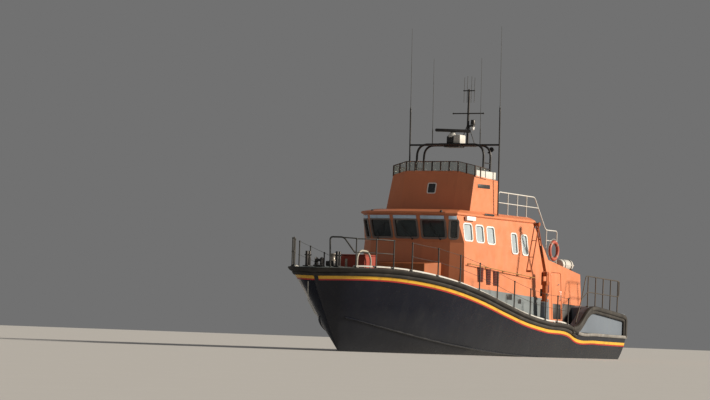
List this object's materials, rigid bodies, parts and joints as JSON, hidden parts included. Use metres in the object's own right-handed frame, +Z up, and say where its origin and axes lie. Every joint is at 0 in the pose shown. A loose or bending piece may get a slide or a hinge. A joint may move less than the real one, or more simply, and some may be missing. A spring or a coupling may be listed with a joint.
{
  "type": "all-weather motor lifeboat",
  "caption": "All-weather rescue motorboat with orange wheelhouse, open flying bridge, radar arch, side crane, guard rails and a navy hull with its stern gear.",
  "frame": {"origin": "amidships on the centreline, at the waterline of the boat afloat", "axes": "+X towards the bow, +Y to port, +Z up"},
  "size_m": [17.2659, 5.8358, 12.8902],
  "materials": {
    "navy_paint": "gloss navy, weathered",
    "engine_steel": "painted casting",
    "deck_grey": "non-slip deck paint",
    "quarter_grey": "blue-grey paint",
    "fender_rubber": "matt rubber",
    "yellow_stripe": "satin",
    "red_stripe": "satin",
    "white_paint": "satin",
    "black_rail": "satin",
    "rail_steel": "dull brushed",
    "orange_paint": "semi-gloss",
    "dark_glass": "dark tinted",
    "black_cabin": "matt",
    "clear_screen": "clear",
    "black_paint": "satin",
    "rope_white": "laid rope",
    "lifebuoy_red": "satin",
    "bronze": "dull bronze"
  },
  "bodies": {
    "boat": {"hull": "navy_paint", "centre_keel": "navy_paint", "bilge_keel_port": "navy_paint", "bilge_keel_starboard": "navy_paint", "engine_port": "engine_steel", "engine_starboard": "engine_steel", "main_deck": "deck_grey", "quarter_deck": "quarter_grey", "sheer_fender": "fender_rubber", "stripe_yellow": "yellow_stripe", "stripe_red": "red_stripe", "toe_rail_port": "white_paint", "toe_rail_starboard": "white_paint", "side_rail_port": "black_rail", "side_rail_starboard": "black_rail", "bow_rail_port": "black_rail", "bow_rail_starboard": "black_rail", "quarter_rail_port": "rail_steel", "quarter_rail_starboard": "rail_steel", "wheelhouse": "orange_paint", "window_glass": "dark_glass", "wheelhouse_sole": "black_cabin", "wheelhouse_roof": "orange_paint", "aft_house": "orange_paint", "flying_bridge": "orange_paint", "bridge_windscreen": "clear_screen", "bridge_helm": "black_cabin", "radar_arch": "black_paint", "radar_pedestal": "white_paint", "mast": "black_paint", "upper_rail_port": "white_paint", "upper_rail_starboard": "white_paint", "upper_steps": "rail_steel", "crane_base": "quarter_grey", "stem_fairlead": "black_paint", "bollards_starboard": "black_paint", "bollards_port": "black_paint", "anchor_winch": "black_paint", "foredeck_locker": "orange_paint", "fore_trunk": "orange_paint", "bow_strop": "rope_white", "lifebuoy_port": "lifebuoy_red", "lifebuoy_starboard": "lifebuoy_red", "liferaft_port": "white_paint", "liferaft_starboard": "white_paint", "shaft_port": "rail_steel", "shaft_starboard": "rail_steel"},
    "scanner": {"radar_scanner": "black_paint"},
    "port_door": {"door_port": "orange_paint"},
    "starboard_door": {"door_starboard": "orange_paint"},
    "lid": {"locker_lid": "orange_paint"},
    "slewing_post": {"crane_post": "orange_paint"},
    "boom": {"crane_boom": "orange_paint"},
    "jib": {"crane_jib": "orange_paint"},
    "port_propeller": {"propeller_port": "bronze"},
    "starboard_propeller": {"propeller_starboard": "bronze"},
    "port_rudder": {"rudder_port": "navy_paint"},
    "starboard_rudder": {"rudder_starboard": "navy_paint"}
  },
  "joints": [
    {"name": "scanner_turn", "type": "hinge", "parent": "boat", "child": "scanner", "pos_m": [-0.04, -0.06, 7.6], "axis": [0, 0, 1], "continuous": true},
    {"name": "port_door_hinge", "type": "hinge", "parent": "boat", "child": "port_door", "pos_m": [-3.797, 2.0226, 1.7], "axis": [0, 0.0603, -0.9982], "range_deg": [0, 90]},
    {"name": "starboard_door_hinge", "type": "hinge", "parent": "boat", "child": "starboard_door", "pos_m": [-3.797, -2.0226, 1.7], "axis": [0, 0.0603, 0.9982], "range_deg": [0, 90]},
    {"name": "lid_hinge", "type": "hinge", "parent": "boat", "child": "lid", "pos_m": [5.63, 0, 3.085], "axis": [0, -1, 0], "range_deg": [0, 100]},
    {"name": "crane_slew", "type": "hinge", "parent": "boat", "child": "slewing_post", "pos_m": [-2.62, 2.33, 2], "axis": [0, 0, 1], "range_deg": [0, 100]},
    {"name": "crane_luff", "type": "hinge", "parent": "slewing_post", "child": "boom", "pos_m": [-2.62, 2.33, 2.86], "axis": [0, 1, 0], "range_deg": [-5, 25]},
    {"name": "crane_knuckle", "type": "hinge", "parent": "boom", "child": "jib", "pos_m": [-1.87, 2.33, 4.54], "axis": [0, -1, 0], "range_deg": [0, 120]},
    {"name": "port_propeller_turn", "type": "hinge", "parent": "boat", "child": "port_propeller", "pos_m": [-6.9, 1, -1.18], "axis": [1, 0, 0], "continuous": true},
    {"name": "starboard_propeller_turn", "type": "hinge", "parent": "boat", "child": "starboard_propeller", "pos_m": [-6.9, -1, -1.18], "axis": [1, 0, 0], "continuous": true},
    {"name": "port_rudder_turn", "type": "hinge", "parent": "boat", "child": "port_rudder", "pos_m": [-7.64, 1, -0.8], "axis": [0, 0, 1], "range_deg": [-35, 35]},
    {"name": "starboard_rudder_turn", "type": "hinge", "parent": "boat", "child": "starboard_rudder", "pos_m": [-7.64, -1, -0.8], "axis": [0, 0, 1], "range_deg": [-35, 35]}
  ]
}
